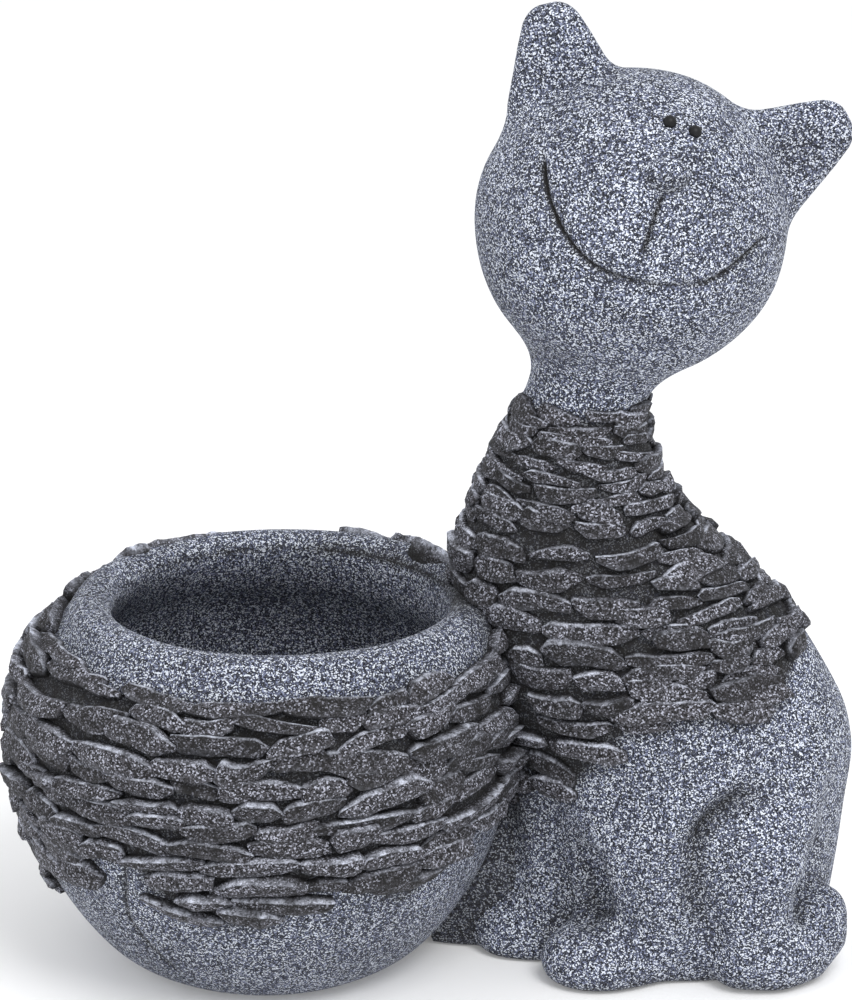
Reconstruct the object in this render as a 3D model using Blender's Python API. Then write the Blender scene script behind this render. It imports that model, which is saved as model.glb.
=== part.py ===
"""Garden cat figurine with a round planter bowl, built piece by piece in metres, +Z up.

The cat sits facing -X with its head turned towards -Y. The bowl stands at its front, on the -X side.
Each casting is bedded on its neighbours with a small gap, and courses of split slate are laid round
the bowl's belly and round the cat's torso.
"""
import math

import bmesh
import bpy
from mathutils import Matrix, Vector

MM = 0.001
FIT_GAP = 0.3 * MM

# Planter bowl, a turned shape
BOWL_X = -66 * MM
FOOT_RADIUS = 49 * MM
BELLY_RADIUS = 102.5 * MM
BELLY_Z = 90 * MM
SHOULDER_REACH = 73.5 * MM
LOWER_ROUND = 1.65
UPPER_ROUND = 3.2
MOUTH_SHIFT = 7 * MM         # the mouth stands this much nearer to the cat than the foot
LEAN_START = 125 * MM
LEAN_END = 150 * MM
LIP_RADIUS = 77.5 * MM
LIP_Z = 147 * MM
LIP_THICKNESS = 9.5 * MM
DRAIN_RADIUS = 7 * MM
FLOOR_Z = 14 * MM
BOWL_SEGMENTS = 40
# inside wall from the lip to the floor: radius, height
BOWL_INSIDE = ((72, 135), (85, 117), (91, 88), (85, 58), (70, 34), (48, 19), (24, 14))

# Torso, a stack of ellipses: height, left edge, right edge, half depth
BODY_Y = 8 * MM
TORSO = (
    (0, 62, 163, 48), (20, 58, 169, 50), (40, 54, 171, 51), (66, 44, 174, 51),
    (86, 34, 175.5, 50.5), (106, 22, 172, 49), (126, 14, 162, 47), (146, 11.5, 149, 44),
    (166, 12, 129, 40), (186, 16, 104, 35), (206, 24, 91, 30), (226, 31, 85, 25),
    (236, 38, 87, 23.5), (250, 43, 94, 23), (266, 45, 97, 22),
)
TORSO_CAVITY = (
    (-5, 73, 153, 37), (40, 66, 161, 41), (66, 60, 164, 41.5), (86, 55, 166, 41),
    (106, 50, 162, 40), (126, 46, 152, 38), (146, 42, 138, 35), (166, 38, 116, 31),
    (186, 36, 93, 26), (206, 41, 80, 21), (222, 48, 72, 12),
)
TORSO_SEGMENTS = 28
TENON_RADIUS = 14 * MM
TENON_TOP = 262 * MM
NECK_X = 66 * MM

# Lump of casting between the bowl's foot and the cat
WEB_CENTRE = Vector((27, 8, 28)) * MM
WEB_RADII = Vector((42, 17, 48)) * MM

# Head, ears and eyes
HEAD_CENTRE = Vector((81.3, 4, 309)) * MM
HEAD_RADII = Vector((62.2, 55, 62)) * MM
HEAD_WALL = 9 * MM
EYE_RADIUS = 2.7 * MM
EYES = {"eye_left": (93.7, -28.9, 357.2), "eye_right": (103.4, -29.0, 353.3)}
# ear: middle of its root, lean to the right in degrees
EARS = {"ear_left": ((56, 6, 350), -13), "ear_right": ((125.5, 6, 330.5), 58)}
# ear sections: distance from the root, half width, half thickness
EAR_SECTIONS = ((0, 25.5, 14), (12, 23, 12), (24, 17.5, 9), (34, 12.5, 6.5), (42, 8.5, 4.5), (46.5, 4, 2.2))

# Slate courses
SLATE_PROUD = 4 * MM
SLATE_BED = 0.5 * MM         # clearance under a course, whose faces are not quite flat
BOWL_COURSE_START = 50 * MM
BOWL_COURSE_HEIGHT = 8 * MM
BOWL_COURSES = 11
TORSO_COURSE_START = 66 * MM
TORSO_COURSE_HEIGHT = 10 * MM
TORSO_COURSES = 17
FLANK_HEM_Z = 106 * MM       # below this the courses lie only on the chest
CHEST_HEM_X = 68 * MM
BACK_HEM_Z = 146 * MM        # below this the courses stop short of the back
BACK_HEM_X = 150 * MM

GRANITE = (0.22, 0.23, 0.28, 1)
SLATE = (0.09, 0.09, 0.105, 1)
BEAD = (0.008, 0.008, 0.009, 1)


def clear_scene():
    for item in list(bpy.data.objects):
        bpy.data.objects.remove(item, do_unlink=True)


def material(name, colour, roughness):
    shade = bpy.data.materials.new(name)
    shade.use_nodes = True
    surface = shade.node_tree.nodes["Principled BSDF"]
    surface.inputs["Base Color"].default_value = colour
    surface.inputs["Roughness"].default_value = roughness
    return shade


def finish(name, mesh, colour, roughness=0.85, crease_degrees=35):
    """Puts the bmesh into a named object with its own material and smooth shading."""
    bmesh.ops.recalc_face_normals(mesh, faces=mesh.faces)
    data = bpy.data.meshes.new(name)
    mesh.to_mesh(data)
    mesh.free()
    data.shade_smooth()
    data.set_sharp_from_angle(angle=math.radians(crease_degrees))
    data.materials.append(material(name + "_finish", colour, roughness))
    piece = bpy.data.objects.new(name, data)
    bpy.context.scene.collection.objects.link(piece)
    return piece


def as_cutter(piece):
    piece.hide_render = True
    piece.display_type = "WIRE"
    return piece


def combine(piece, operation, *tools):
    """Adds one exact Boolean modifier for each tool."""
    for tool in tools:
        step = piece.modifiers.new(operation.lower() + "_" + tool.name, "BOOLEAN")
        step.operation = operation
        step.solver = "EXACT"
        step.object = as_cutter(tool)
    return piece


def loft(rings):
    """Skins a stack of rings that have the same number of points, and closes both ends."""
    mesh = bmesh.new()
    loops = [[mesh.verts.new(point) for point in ring] for ring in rings]
    for lower, upper in zip(loops, loops[1:]):
        for i in range(len(lower)):
            j = (i + 1) % len(lower)
            mesh.faces.new((lower[i], lower[j], upper[j], upper[i]))
    mesh.faces.new(list(reversed(loops[0])))
    mesh.faces.new(loops[-1])
    return mesh


def ellipsoid(name, centre, radii, colour=GRANITE, lean=0.0, segments=24, rings=14):
    """A sphere stretched to three radii, leaned about Y by an angle in degrees."""
    mesh = bmesh.new()
    place = Matrix.Translation(centre) @ Matrix.Rotation(math.radians(lean), 4, "Y")
    stretch = Matrix.Diagonal((*radii, 1))
    bmesh.ops.create_uvsphere(mesh, u_segments=segments, v_segments=rings, radius=1, matrix=place @ stretch)
    return finish(name, mesh, colour)


def cylinder(name, centre, radius, low, high, colour=GRANITE):
    mesh = bmesh.new()
    middle = Matrix.Translation((centre[0], centre[1], (low + high) / 2))
    bmesh.ops.create_cone(mesh, cap_ends=True, segments=24, radius1=radius, radius2=radius,
                          depth=high - low, matrix=middle)
    return finish(name, mesh, colour)


def floor_cutter(name):
    """A block under the ground plane, which gives each casting a flat base."""
    mesh = bmesh.new()
    bmesh.ops.create_cube(mesh, size=1, matrix=Matrix.Translation((0, 0, -0.1)) @ Matrix.Diagonal((1, 1, 0.2, 1)))
    return finish(name, mesh, GRANITE)


# ---------------------------------------------------------------- bowl
def bowl_radius(z):
    """Outside of the bowl: two superellipse quarters that meet at the belly."""
    if z < BELLY_Z:
        drop = 1 - max(z, 0) / BELLY_Z
        quarter = (1 - drop ** LOWER_ROUND) ** (1 / LOWER_ROUND)
        return FOOT_RADIUS + (BELLY_RADIUS - FOOT_RADIUS) * quarter
    rise = (z - BELLY_Z) / SHOULDER_REACH
    return BELLY_RADIUS * (1 - rise ** UPPER_ROUND) ** (1 / UPPER_ROUND)


def bowl_middle(z):
    """X of the bowl's middle at a height, which eases towards the cat below the mouth."""
    share = min(max((z - LEAN_START) / (LEAN_END - LEAN_START), 0), 1)
    return BOWL_X + MOUTH_SHIFT * share * share * (3 - 2 * share)


def bowl_outside():
    """Profile points from the foot to the outer edge of the lip."""
    below = [0, 3, 9, 18, 28, 39]
    courses = [BOWL_COURSE_START / MM + i * BOWL_COURSE_HEIGHT / MM for i in range(BOWL_COURSES + 1)]
    return [(bowl_radius(z * MM), z * MM) for z in below + courses]


def lip_arc(grow, steps=6):
    """Half circle over the top of the lip, from its outer edge to its inner edge."""
    turns = [math.pi * i / steps for i in range(steps + 1)]
    thick = LIP_THICKNESS + grow
    return [(LIP_RADIUS + thick * math.cos(t), LIP_Z + thick * math.sin(t)) for t in turns]


def turned(name, profile, colour):
    """Spins a closed outline of (radius, height) points, and leans it as the bowl leans."""
    mesh = bmesh.new()
    points = [mesh.verts.new((radius, 0, z)) for radius, z in profile]
    edges = [mesh.edges.new((a, b)) for a, b in zip(points, points[1:] + points[:1])]
    bmesh.ops.spin(mesh, geom=points + edges, cent=(0, 0, 0), axis=(0, 0, 1), dvec=(0, 0, 0),
                   angle=math.tau, steps=BOWL_SEGMENTS, use_merge=True)
    bmesh.ops.remove_doubles(mesh, verts=mesh.verts, dist=0.01 * MM)
    for vert in mesh.verts:
        vert.co.x += bowl_middle(vert.co.z)
    return finish(name, mesh, colour)


def planter_bowl():
    inside = [(radius * MM, z * MM) for radius, z in BOWL_INSIDE]
    drain = [(DRAIN_RADIUS, FLOOR_Z), (DRAIN_RADIUS, 0)]
    return turned("planter_bowl", bowl_outside() + lip_arc(0) + inside + drain, GRANITE)


def bowl_block(name):
    """The bowl's outside as one solid, a gap larger, for cutting what leans on it."""
    outside = [(radius + FIT_GAP, z) for radius, z in bowl_outside()]
    rings = [(FOOT_RADIUS + FIT_GAP, -5 * MM)] + outside + lip_arc(FIT_GAP)[:4]
    loops = []
    for radius, z in rings:
        turns = [math.tau * i / BOWL_SEGMENTS for i in range(BOWL_SEGMENTS)]
        loops.append([Vector((bowl_middle(z) + radius * math.cos(t), radius * math.sin(t), z)) for t in turns])
    return finish(name, loft(loops), GRANITE)


# ---------------------------------------------------------------- torso
def section_at(table, z):
    """Left edge, right edge and half depth at a height, in metres, read between the table's rows."""
    height = z / MM
    for low, high in zip(table, table[1:]):
        if height <= high[0]:
            share = (height - low[0]) / (high[0] - low[0])
            return [(a + (b - a) * share) * MM for a, b in zip(low[1:], high[1:])]
    return [value * MM for value in table[-1][1:]]


def torso_ring(table, z, grow=0.0):
    left, right, depth = section_at(table, z)
    middle, reach = (left + right) / 2, (right - left) / 2
    turns = [math.tau * i / TORSO_SEGMENTS for i in range(TORSO_SEGMENTS)]
    return [Vector((middle + (reach + grow) * math.cos(t), BODY_Y + (depth + grow) * math.sin(t), z))
            for t in turns]


def torso_solid(name, grow=0.0, bottom=0.0, table=TORSO, top=None):
    """The torso's stack of ellipses, with a ring at each course line so that courses bed on it."""
    top = table[-1][0] * MM if top is None else top
    below = [height * MM for height, *_ in table if height * MM < TORSO_COURSE_START]
    lines = [TORSO_COURSE_START + i * TORSO_COURSE_HEIGHT for i in range(TORSO_COURSES + 1)]
    heights = [bottom] + [z for z in below + lines if bottom < z < top] + [top]
    return finish(name, loft([torso_ring(table, z, grow) for z in heights]), GRANITE)


def torso():
    head_room = ellipsoid("cut_head_room", HEAD_CENTRE, HEAD_RADII + Vector((FIT_GAP,) * 3))
    cavity = torso_solid("cut_torso_cavity", bottom=-5 * MM, table=TORSO_CAVITY)
    tenon = cylinder("add_neck_tenon", (NECK_X, BODY_Y), TENON_RADIUS, 236 * MM, TENON_TOP)
    piece = torso_solid("torso")
    combine(piece, "DIFFERENCE", bowl_block("cut_bowl_from_torso"), head_room)
    combine(piece, "UNION", tenon)
    return combine(piece, "DIFFERENCE", cavity)


# ---------------------------------------------------------------- head
def head():
    piece = ellipsoid("head", HEAD_CENTRE, HEAD_RADII)
    hollow = ellipsoid("cut_head_hollow", HEAD_CENTRE, HEAD_RADII - Vector((HEAD_WALL,) * 3))
    socket = cylinder("cut_neck_socket", (NECK_X, BODY_Y), TENON_RADIUS + FIT_GAP, 236 * MM, 275 * MM)
    combine(piece, "DIFFERENCE", hollow, socket)
    for name, place in EYES.items():
        pit = ellipsoid("cut_pit_" + name, Vector(place) * MM, Vector((EYE_RADIUS + FIT_GAP,) * 3),
                        segments=12, rings=8)
        combine(piece, "DIFFERENCE", pit)
    return piece


def ear(name, root, lean):
    """A rounded triangular blade on the head, hollowed at its front."""
    root = Vector(root) * MM
    turn = Matrix.Rotation(math.radians(lean), 3, "Y")
    rings = []
    for along, width, thick in EAR_SECTIONS:
        turns = [math.tau * i / 20 for i in range(20)]
        rings.append([root + turn @ Vector((width * math.cos(t), thick * math.sin(t), along)) * MM for t in turns])
    piece = finish(name, loft(rings), GRANITE)
    dish = ellipsoid("cut_dish_" + name, root + turn @ Vector((0, -14, 22)) * MM, Vector((13, 7, 17)) * MM,
                     lean=lean, segments=16, rings=10)
    seat = ellipsoid("cut_seat_" + name, HEAD_CENTRE, HEAD_RADII + Vector((FIT_GAP,) * 3))
    return combine(piece, "DIFFERENCE", dish, seat)


def eyes():
    for name, place in EYES.items():
        ellipsoid(name, Vector(place) * MM, Vector((EYE_RADIUS,) * 3), BEAD, segments=12, rings=8)


# ---------------------------------------------------------------- limbs and tail
def mirrored(y, side):
    """A distance in front of the body's middle plane on the near side, behind it on the far side."""
    return BODY_Y + (y if side == "near" else -y)


def limb_top(name):
    """The torso under its jumper, grown past the slates, from the flank's hem upwards."""
    return torso_solid(name, grow=SLATE_PROUD + 2 * FIT_GAP, bottom=FLANK_HEM_Z - FIT_GAP)


def foreleg(side, grow=0.0, name=None):
    """A round leg with a paw towards -X, as one casting."""
    name = name or "foreleg_" + side
    heights = (-2, 20, 45, TORSO_COURSE_START / MM - 0.4)
    rings = []
    for height in heights:
        turns = [math.tau * i / 20 for i in range(20)]
        rings.append([Vector((51 * MM + (11 * MM + grow) * math.cos(t),
                              mirrored(-15.5 * MM, side) + (11 * MM + grow) * math.sin(t),
                              height * MM)) for t in turns])
    piece = finish(name, loft(rings), GRANITE)
    paw_place = Vector((34 * MM, mirrored(-17 * MM, side), 9 * MM))
    paw = ellipsoid("add_paw_" + name, paw_place, Vector((20, 12.5, 15)) * MM + Vector((grow,) * 3),
                    segments=20, rings=12)
    return combine(piece, "UNION", paw)


def hind_leg(side, grow=0.0, name=None):
    """A haunch with its foot towards -X, as one casting."""
    name = name or "hind_leg_" + side
    piece = ellipsoid(name, Vector((102 * MM, mirrored(-26 * MM, side), 54 * MM)),
                      Vector((40, 35, 52)) * MM + Vector((grow,) * 3))
    foot = ellipsoid("add_foot_" + name, Vector((71 * MM, mirrored(-45 * MM, side), 11 * MM)),
                     Vector((24, 18, 15)) * MM + Vector((grow,) * 3), segments=20, rings=12)
    return combine(piece, "UNION", foot)


# tail: route points with a radius each, the drop from the rump and the curl along the ground
TAIL_DROP = ((152, -21, 86, 9), (144, -30, 70, 14), (136, -36, 54, 17), (132, -38, 36, 18), (131, -38, 8, 17))
TAIL_CURL = ((128, -38, 13, 13), (138, -37, 14, 16), (150, -33, 14, 15), (161, -27, 15, 13), (170, -20, 19, 8))


def tube(name, route):
    """A round bar along a gentle route of points that each carry a radius."""
    places = [Vector(stop[:3]) * MM for stop in route]
    rings = []
    for i, (place, stop) in enumerate(zip(places, route)):
        ahead = (places[min(i + 1, len(route) - 1)] - places[max(i - 1, 0)]).normalized()
        across = ahead.cross(Vector((0, 1, 0))).normalized()
        out = across.cross(ahead).normalized()
        turns = [math.tau * k / 18 for k in range(18)]
        rings.append([place + (across * math.cos(t) + out * math.sin(t)) * stop[3] * MM for t in turns])
    return finish(name, loft(rings), GRANITE)


def tail():
    """A round tail that comes down from the rump and curls back along the ground."""
    piece = tube("tail", TAIL_DROP)
    combine(piece, "UNION", tube("add_tail_curl", TAIL_CURL))
    return combine(piece, "DIFFERENCE",
                   torso_solid("cut_torso_from_tail", grow=FIT_GAP, bottom=-5 * MM),
                   floor_cutter("cut_floor_from_tail"),
                   hind_leg("near", FIT_GAP, "cut_leg_from_tail"))


def legs():
    for side in ("near", "far"):
        combine(hind_leg(side), "DIFFERENCE",
                torso_solid("cut_torso_from_hind_" + side, grow=FIT_GAP, bottom=-5 * MM),
                limb_top("cut_jumper_from_hind_" + side),
                floor_cutter("cut_floor_from_hind_" + side))
        combine(foreleg(side), "DIFFERENCE",
                torso_solid("cut_torso_from_fore_" + side, grow=FIT_GAP, bottom=-5 * MM),
                bowl_block("cut_bowl_from_fore_" + side),
                hind_leg(side, FIT_GAP, "cut_hind_from_fore_" + side),
                floor_cutter("cut_floor_from_fore_" + side))


def base_web():
    """The lump of casting at the ground that ties the bowl's foot to the cat."""
    piece = ellipsoid("base_web", WEB_CENTRE, WEB_RADII)
    return combine(piece, "DIFFERENCE",
                   bowl_block("cut_bowl_from_web"),
                   torso_solid("cut_torso_from_web", grow=FIT_GAP, bottom=-5 * MM),
                   foreleg("near", FIT_GAP, "cut_near_leg_from_web"),
                   foreleg("far", FIT_GAP, "cut_far_leg_from_web"),
                   floor_cutter("cut_floor_from_web"))


# ---------------------------------------------------------------- slate courses
def runs(keep):
    """Stretches of neighbouring True entries on a closed ring, as lists of indices."""
    count = len(keep)
    if all(keep):
        return [list(range(count))]
    start = next(i for i in range(count) if not keep[i])
    found, current = [], []
    for step in range(1, count + 1):
        i = (start + step) % count
        if keep[i]:
            current.append(i)
        elif current:
            found.append(current)
            current = []
    return [run for run in found if len(run) >= 2]


def course(name, inner_low, inner_high, outward, number):
    """One course: a shingle-like band, proud at its lower edge, with chips alternately thicker."""
    mesh = bmesh.new()
    closed = inner_low[0] is inner_low[-1]
    loops = []
    for i, (low, high, away) in enumerate(zip(inner_low, inner_high, outward)):
        proud = SLATE_PROUD * (0.8 + 0.2 * ((i // 3 + number) % 2))
        lip = proud * 0.55
        corners = (low + away * SLATE_BED, low + away * proud, high + away * lip, high + away * SLATE_BED)
        loops.append([mesh.verts.new(corner) for corner in corners])
    pairs = list(zip(loops, loops[1:]))
    if closed:
        pairs[-1] = (loops[-2], loops[0])
        bmesh.ops.delete(mesh, geom=loops[-1], context="VERTS")
    for first, second in pairs:
        for k in range(4):
            m = (k + 1) % 4
            mesh.faces.new((first[k], first[m], second[m], second[k]))
    if not closed:
        mesh.faces.new(loops[0])
        mesh.faces.new(list(reversed(loops[-1])))
    return finish(name, mesh, SLATE, 0.75)


def outward_directions(ring):
    """Level directions square to a ring that runs anticlockwise, one for each point."""
    count = len(ring)
    along = [ring[(i + 1) % count] - ring[i - 1] for i in range(count)]
    return [Vector((step.y, -step.x, 0)).normalized() for step in along]


def lay_course(name, low, high, keep, number):
    """Lays a course along each kept stretch of a ring; a broken ring is named by side."""
    outward = outward_directions(low)
    found = runs(keep)
    for letter, run in zip("abc", found):
        indices = run + run[:1] if len(run) == len(low) else run
        label = name if len(found) == 1 else name + letter
        course(label, [low[i] for i in indices], [high[i] for i in indices],
               [outward[i] for i in indices], number)


def in_torso(point, margin):
    """Whether a point lies in the torso's section at its height, grown by a margin."""
    left, right, depth = section_at(TORSO, point.z)
    across = (point.x - (left + right) / 2) / ((right - left) / 2 + margin)
    through = (point.y - BODY_Y) / (depth + margin)
    return across ** 2 + through ** 2 < 1


def near_bowl(point):
    """Whether a course at this point would meet the bowl, or the bowl's own courses below its rim."""
    if point.z > LIP_Z + LIP_THICKNESS + SLATE_BED:
        return False
    if point.z > LIP_Z:
        reach = LIP_RADIUS + LIP_THICKNESS
    else:
        reach = bowl_radius(point.z)
    bowl_top_course = BOWL_COURSE_START + BOWL_COURSES * BOWL_COURSE_HEIGHT
    margin = 1.15 * SLATE_PROUD if point.z > bowl_top_course else 2.3 * SLATE_PROUD
    return math.hypot(point.x - bowl_middle(point.z), point.y) < reach + margin


def at_web(point):
    """Whether a bowl course at this point would run into the web."""
    clear = SLATE_PROUD + FIT_GAP
    low_enough = point.z < WEB_CENTRE.z + WEB_RADII.z
    return low_enough and point.x > BOWL_X and abs(point.y - BODY_Y) < WEB_RADII.y + clear


def bowl_ring(z):
    turns = [math.tau * i / BOWL_SEGMENTS for i in range(BOWL_SEGMENTS)]
    radius = bowl_radius(z)
    return [Vector((bowl_middle(z) + radius * math.cos(t), radius * math.sin(t), z)) for t in turns]


def bowl_courses():
    for number in range(BOWL_COURSES):
        low_z = BOWL_COURSE_START + number * BOWL_COURSE_HEIGHT
        low, high = bowl_ring(low_z), bowl_ring(low_z + BOWL_COURSE_HEIGHT)
        high = [point - Vector((0, 0, FIT_GAP)) for point in high]
        keep = [not (in_torso(a, 2.3 * SLATE_PROUD) or in_torso(b, 2.3 * SLATE_PROUD) or at_web(a))
                for a, b in zip(low, high)]
        lay_course("bowl_slates_%02d" % (number + 1), low, high, keep, number)


def on_jumper(point):
    """Whether the jumper covers this point: the hem steps down at the chest and up at the back."""
    if point.z < FLANK_HEM_Z - FIT_GAP:
        return point.x < CHEST_HEM_X
    if point.z < BACK_HEM_Z - FIT_GAP:
        return point.x < BACK_HEM_X
    return True


def torso_courses():
    for number in range(TORSO_COURSES):
        low_z = TORSO_COURSE_START + number * TORSO_COURSE_HEIGHT
        low, high = torso_ring(TORSO, low_z), torso_ring(TORSO, low_z + TORSO_COURSE_HEIGHT)
        high = [point - Vector((0, 0, FIT_GAP)) for point in high]
        keep = [on_jumper(a) and not near_bowl(a) and not near_bowl(b) for a, b in zip(low, high)]
        lay_course("torso_slates_%02d" % (number + 1), low, high, keep, number)


def centre_on_origin():
    """Moves everything so that the middle of the bounding box's underside is the origin."""
    bpy.context.view_layer.update()
    shown = [item for item in bpy.data.objects if not item.hide_render]
    corners = [item.matrix_world @ Vector(corner) for item in shown for corner in item.bound_box]
    low = Vector([min(corner[axis] for corner in corners) for axis in range(3)])
    high = Vector([max(corner[axis] for corner in corners) for axis in range(3)])
    shift = Vector((-(low.x + high.x) / 2, -(low.y + high.y) / 2, 0))
    for item in bpy.data.objects:
        item.location += shift
    print("moved by", tuple(round(value / MM, 2) for value in shift), "mm")


clear_scene()
planter_bowl()
torso()
head()
for ear_name, (ear_root, ear_lean) in EARS.items():
    ear(ear_name, ear_root, ear_lean)
eyes()
legs()
tail()
base_web()
bowl_courses()
torso_courses()
centre_on_origin()
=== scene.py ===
import math

import bpy
import numpy as np
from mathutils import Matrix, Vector


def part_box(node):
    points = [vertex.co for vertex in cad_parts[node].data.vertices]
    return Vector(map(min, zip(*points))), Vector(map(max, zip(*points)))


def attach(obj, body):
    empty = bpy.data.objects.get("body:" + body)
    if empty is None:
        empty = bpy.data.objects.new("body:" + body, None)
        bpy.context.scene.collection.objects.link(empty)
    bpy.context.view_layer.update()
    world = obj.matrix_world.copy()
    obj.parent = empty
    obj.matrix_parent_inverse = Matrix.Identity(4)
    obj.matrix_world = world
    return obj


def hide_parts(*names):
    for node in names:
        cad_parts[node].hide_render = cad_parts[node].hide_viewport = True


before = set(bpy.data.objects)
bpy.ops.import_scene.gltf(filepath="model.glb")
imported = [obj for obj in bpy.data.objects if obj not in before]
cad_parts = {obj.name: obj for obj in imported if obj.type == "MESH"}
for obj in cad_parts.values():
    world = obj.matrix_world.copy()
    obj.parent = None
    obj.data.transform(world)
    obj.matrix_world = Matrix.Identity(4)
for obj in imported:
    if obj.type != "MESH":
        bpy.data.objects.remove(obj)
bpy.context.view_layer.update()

# The cat and its bowl are drawn in millimetres about the bowl's axis. The bowl's place comes from the frame.
bowlLow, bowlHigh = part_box("planter_bowl")
axisX = 500 * (bowlLow.x + bowlHigh.x)
axisY = 500 * (bowlLow.y + bowlHigh.y)
random = np.random.default_rng(20)


# ---- Fields: negative inside a shape, about the distance in millimetres near its skin

def lengthOf(vectors):
    return np.sqrt((vectors ** 2).sum(-1))


def roundField(offset, radii):
    # k (k - 1) / slope, where k is the distance from the middle counted in radii
    k = lengthOf(offset / radii) + 1e-9
    return k * (k - 1) / (lengthOf(offset / radii ** 2) + 1e-9)


def ellipsoidField(points, centre, radii):
    return roundField(points - np.array(centre, float), np.array(radii, float))


def gapToBar(points, a, b):
    # distance from the line between a and b, and the share of it passed there
    along = b - a
    share = np.clip(((points - a) @ along) / (along @ along), 0, 1)
    return lengthOf(points - (a + share[..., None] * along)), share


def chainField(points, beads):
    # nearest of the round-ended bars between beads of (x, y, z, radius)
    nearest = None
    for a, b in zip(np.array(beads, float), np.array(beads[1:], float)):
        gap, share = gapToBar(points, a[:3], b[:3])
        gap = gap - (a[3] + share * (b[3] - a[3]))
        nearest = gap if nearest is None else blend(nearest, gap, 5)
    return nearest


def blend(a, b, reach):
    # the lower of two fields, rounded by a parabola where they are within reach of each other
    share = np.clip(0.5 + 0.5 * (b - a) / reach, 0, 1)
    return b + (a - b) * share - reach * share * (1 - share)


def hollowed(a, b, reach):
    # a with b taken out, with a rounded edge
    return -blend(-a, b, reach)


def smoothRows(rows, blur):
    # a table of rows by height, read each millimetre and rounded by a bell-shaped average
    table = np.array(rows, float)
    heights = np.arange(table[0, 0] - 30, table[-1, 0] + 31)
    spread = np.arange(-3 * blur, 3 * blur + 1)
    bell = np.exp(-0.5 * (spread / blur) ** 2)
    bell /= bell.sum()
    columns = []
    for column in table[:, 1:].T:
        raw = np.interp(heights, table[:, 0], column)
        padded = np.pad(raw, len(spread) // 2, mode="edge")
        columns.append(np.convolve(padded, bell, mode="valid"))
    return heights, columns


def edgesAt(z, stack):
    # left edge, right edge and half depth at a height
    heights, columns = stack
    return [np.interp(z, heights, column) for column in columns]


def stackField(points, stack):
    # a stack of level ellipses
    low, high, deep = edgesAt(points[..., 2], stack)
    offset = np.stack((points[..., 0] - (low + high) / 2, points[..., 1] - torso["middleY"]), -1)
    return roundField(offset, np.stack(((high - low) / 2, deep), -1))


# ---- The castings' shapes, x measured from the bowl's axis

torso = {
    "middleY": 8,
    # height, left edge, right edge, half depth
    "rows": ((0, 128, 229, 48), (20, 124, 235, 50), (40, 120, 237, 51), (66, 110, 240, 51),
        (86, 100, 242.5, 50.5), (106, 88, 239.5, 49), (126, 80, 228, 47), (146, 77.5, 215, 44),
        (166, 78, 194, 40), (186, 82.5, 170.5, 35), (206, 91, 159.5, 30), (226, 98.5, 153.5, 25),
        (236, 105.5, 154, 23.5), (250, 109, 160, 23), (266, 111, 163, 22)),
    "hollow": ((-5, 139, 219, 37), (40, 132, 227, 41), (66, 126, 230, 41.5), (86, 121, 232, 41),
        (106, 116, 228, 40), (126, 112, 218, 38), (146, 108, 204, 35), (166, 104, 182, 31),
        (186, 102, 159, 26), (206, 107, 146, 21), (222, 114, 138, 12)),
    "blur": 6, "top": 272,
}
torsoStack = smoothRows(torso["rows"], torso["blur"])
hollowStack = smoothRows(torso["hollow"], torso["blur"])

head = {"centre": (147.3, 4, 309), "radii": (62.2, 55, 62), "neckReach": 15,
        "nose": (158.8, -45.3, 340.7), "noseRadii": (7.5, 5, 6), "noseReach": 5}
ears = {
    "ear_left": {"root": (123, 6, 349.5), "lean": -12},
    "ear_right": {"root": (191, 6, 327.3), "lean": 59.5},
}
earShape = {
    # distance from the root, half width, half thickness
    "sections": ((-14, 27, 14), (0, 25.5, 13), (12, 23, 11.5), (24, 18.2, 9), (34, 14.6, 7.5),
        (42, 11.2, 6), (48, 7, 4)),
    "top": 48,
    "dish": (0, -13, 22),
    "dishRadii": (12, 7, 17),
    "reach": 6.5,
}
limbs = {
    "foreleg": ((117, -15.5, -6, 11), (117, -15.5, 30, 11), (115, -15, 78, 13)),
    "paw": (100, -17, 8), "pawRadii": (20, 12.5, 16), "pawStep": {"near": 8, "far": 0},
    "thigh": (168, -26, 54), "thighRadii": (40, 35, 52), "thighReach": 20,
    "foot": (137, -45, 10), "footRadii": (24, 18, 16),
}
tail = {
    # beads of x, y, z and radius, down the rump and round the curl
    "drop": ((218, -21, 88, 9), (210, -30, 70, 14), (202, -37, 54, 17), (198, -39, 34, 18),
        (197, -39, 14, 16), (207, -38, 14, 17), (217, -33, 15, 16), (224.5, -27, 19, 14),
        (228, -23, 25, 10.5)),
    "reachLow": 3, "reachHigh": 14, "rumpZ": 86,
}
web = {"centre": (93, 8, 28), "radii": (42, 17, 48)}


def mirrored(y, side):
    # a distance in front of the cat's middle plane on the near side, behind it on the far side
    return torso["middleY"] + (y if side == "near" else -y)


def earField(points, ear):
    turn = math.radians(ear["lean"])
    offset = points - np.array(ear["root"], float)
    across = offset[..., 0] * math.cos(turn) - offset[..., 2] * math.sin(turn)
    along = offset[..., 0] * math.sin(turn) + offset[..., 2] * math.cos(turn)
    places, widths, depths = np.array(earShape["sections"], float).T
    local = np.stack((across, offset[..., 1], along), -1)
    radii = np.stack((np.interp(along, places, widths), np.interp(along, places, depths)), -1)
    blade = hollowed(roundField(local[..., :2], radii), earShape["top"] - along, 5)
    blade = hollowed(blade, along + 13, 3)
    return hollowed(blade, ellipsoidField(local, earShape["dish"], earShape["dishRadii"]), 7)


def bowlMiddle(z):
    # how far the bowl's middle has eased towards the cat at a height
    share = np.clip((z - bowl["leanStart"]) / (bowl["leanEnd"] - bowl["leanStart"]), 0, 1)
    return bowl["mouthShift"] * share ** 2 * (3 - 2 * share)


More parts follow.
